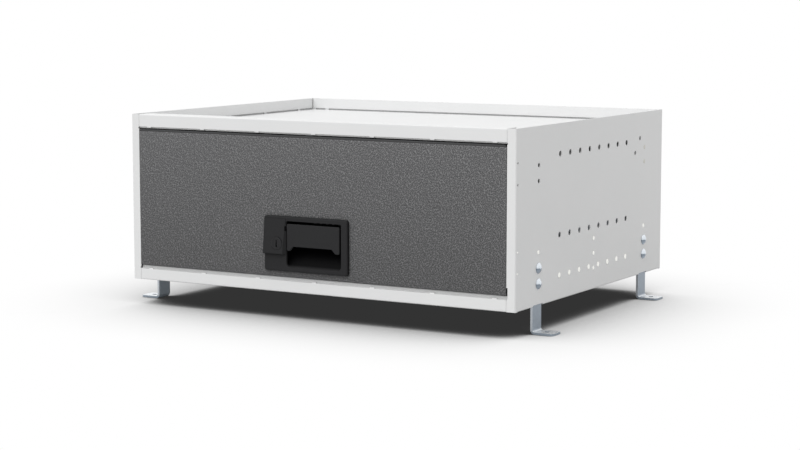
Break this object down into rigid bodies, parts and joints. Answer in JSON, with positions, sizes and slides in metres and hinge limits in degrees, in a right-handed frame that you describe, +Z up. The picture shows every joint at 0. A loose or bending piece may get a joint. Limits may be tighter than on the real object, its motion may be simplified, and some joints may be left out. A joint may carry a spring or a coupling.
{
  "type": "van drawer unit",
  "caption": "Low folded-steel drawer case on turned-out feet, with a recessed tray top and a full-extension moulded drawer behind a paddle latch with a key lock.",
  "frame": {"origin": "on the floor, at the centre of the rectangle of the four foot holes, below the middle of the case", "axes": "+X to the right seen from the front, +Y to the back, +Z up; the drawer opens toward -Y"},
  "size_m": [0.6452, 0.4707, 0.263],
  "materials": {
    "white_painted_steel": "fine powder coat, satin",
    "zinc_plated_steel": "bright zinc plate",
    "slide_steel": "rolled, zinc plated",
    "black_rubber": "matt moulded rubber",
    "tub_plastic": "smooth moulded plastic",
    "grained_plastic": "fine leather grain, satin",
    "latch_plastic": "fine spark-eroded grain, satin",
    "nylon": "natural nylon",
    "lock_metal": "nickel plate, lightly worn",
    "bright_steel": "drawn wire and ground pin"
  },
  "bodies": {
    "case": {"side_panel_left": "white_painted_steel", "side_panel_right": "white_painted_steel", "top_tray": "white_painted_steel", "bottom_panel": "white_painted_steel", "rear_panel": "white_painted_steel", "panel_rivets": "zinc_plated_steel", "rod_keeper": "zinc_plated_steel", "keeper_rivets": "zinc_plated_steel", "foot_front_left": "zinc_plated_steel", "foot_front_right": "zinc_plated_steel", "foot_rear_left": "zinc_plated_steel", "foot_rear_right": "zinc_plated_steel", "foot_bolts": "zinc_plated_steel", "foot_nuts": "zinc_plated_steel", "slide_bracket_left": "zinc_plated_steel", "slide_bracket_right": "zinc_plated_steel", "slide_outer_left": "slide_steel", "slide_outer_right": "slide_steel", "bracket_screws": "zinc_plated_steel", "slide_bumpers": "black_rubber"},
    "drawer": {"slide_inner_left": "slide_steel", "slide_inner_right": "slide_steel", "tub_side_screws": "zinc_plated_steel", "drawer_tub": "tub_plastic", "tub_front_screws": "zinc_plated_steel", "drawer_front": "grained_plastic", "latch_housing": "latch_plastic", "latch_screws": "zinc_plated_steel", "lock_plate": "latch_plastic", "lock_barrel": "lock_metal", "paddle_pin": "bright_steel", "paddle_spring": "bright_steel", "rod_guides": "nylon"},
    "paddle": {"paddle": "latch_plastic"},
    "rod": {"latch_rod": "zinc_plated_steel"},
    "lock": {"lock_plug": "lock_metal", "lock_cam": "zinc_plated_steel", "cam_screw": "zinc_plated_steel"},
    "middle_left": {"slide_middle_left": "slide_steel"},
    "outer_cage_left": {"ball_cage_outer_left": "slide_steel"},
    "inner_cage_left": {"ball_cage_inner_left": "slide_steel"},
    "middle_right": {"slide_middle_right": "slide_steel"},
    "outer_cage_right": {"ball_cage_outer_right": "slide_steel"},
    "inner_cage_right": {"ball_cage_inner_right": "slide_steel"}
  },
  "joints": [
    {"name": "drawer_slide", "type": "slide", "parent": "case", "child": "drawer", "axis": [0, -1, 0], "range_m": [0, 0.41]},
    {"name": "middle_left_slide", "type": "slide", "parent": "case", "child": "middle_left", "axis": [0, -1, 0], "range_m": [0, 0.2051]},
    {"name": "outer_cage_left_slide", "type": "slide", "parent": "case", "child": "outer_cage_left", "axis": [0, -1, 0], "range_m": [0, 0.1026]},
    {"name": "inner_cage_left_slide", "type": "slide", "parent": "case", "child": "inner_cage_left", "axis": [0, -1, 0], "range_m": [0, 0.3076]},
    {"name": "middle_right_slide", "type": "slide", "parent": "case", "child": "middle_right", "axis": [0, -1, 0], "range_m": [0, 0.2051]},
    {"name": "outer_cage_right_slide", "type": "slide", "parent": "case", "child": "outer_cage_right", "axis": [0, -1, 0], "range_m": [0, 0.1026]},
    {"name": "inner_cage_right_slide", "type": "slide", "parent": "case", "child": "inner_cage_right", "axis": [0, -1, 0], "range_m": [0, 0.3076]},
    {"name": "paddle_hinge", "type": "hinge", "parent": "drawer", "child": "paddle", "pos_m": [0, -0.2265, 0.119], "axis": [-1, 0, 0], "range_deg": [0, 26.5], "stiffness_Nm_per_rad": 0.05, "springref_deg": -17.19},
    {"name": "rod_slide", "type": "slide", "parent": "drawer", "child": "rod", "axis": [0, 0, -1], "range_m": [0, 0.00885]},
    {"name": "lock_turn", "type": "hinge", "parent": "drawer", "child": "lock", "pos_m": [-0.0527, -0.22, 0.1], "axis": [0, -1, 0], "range_deg": [0, 90]}
  ],
  "couplings": [
    {"joint": "middle_left_slide", "follows": "drawer_slide", "ratio": 0.5},
    {"joint": "outer_cage_left_slide", "follows": "drawer_slide", "ratio": 0.25},
    {"joint": "inner_cage_left_slide", "follows": "drawer_slide", "ratio": 0.75},
    {"joint": "middle_right_slide", "follows": "drawer_slide", "ratio": 0.5},
    {"joint": "outer_cage_right_slide", "follows": "drawer_slide", "ratio": 0.25},
    {"joint": "inner_cage_right_slide", "follows": "drawer_slide", "ratio": 0.75},
    {"joint": "paddle_hinge", "follows": "rod_slide", "rad_per_m": 49.25}
  ]
}
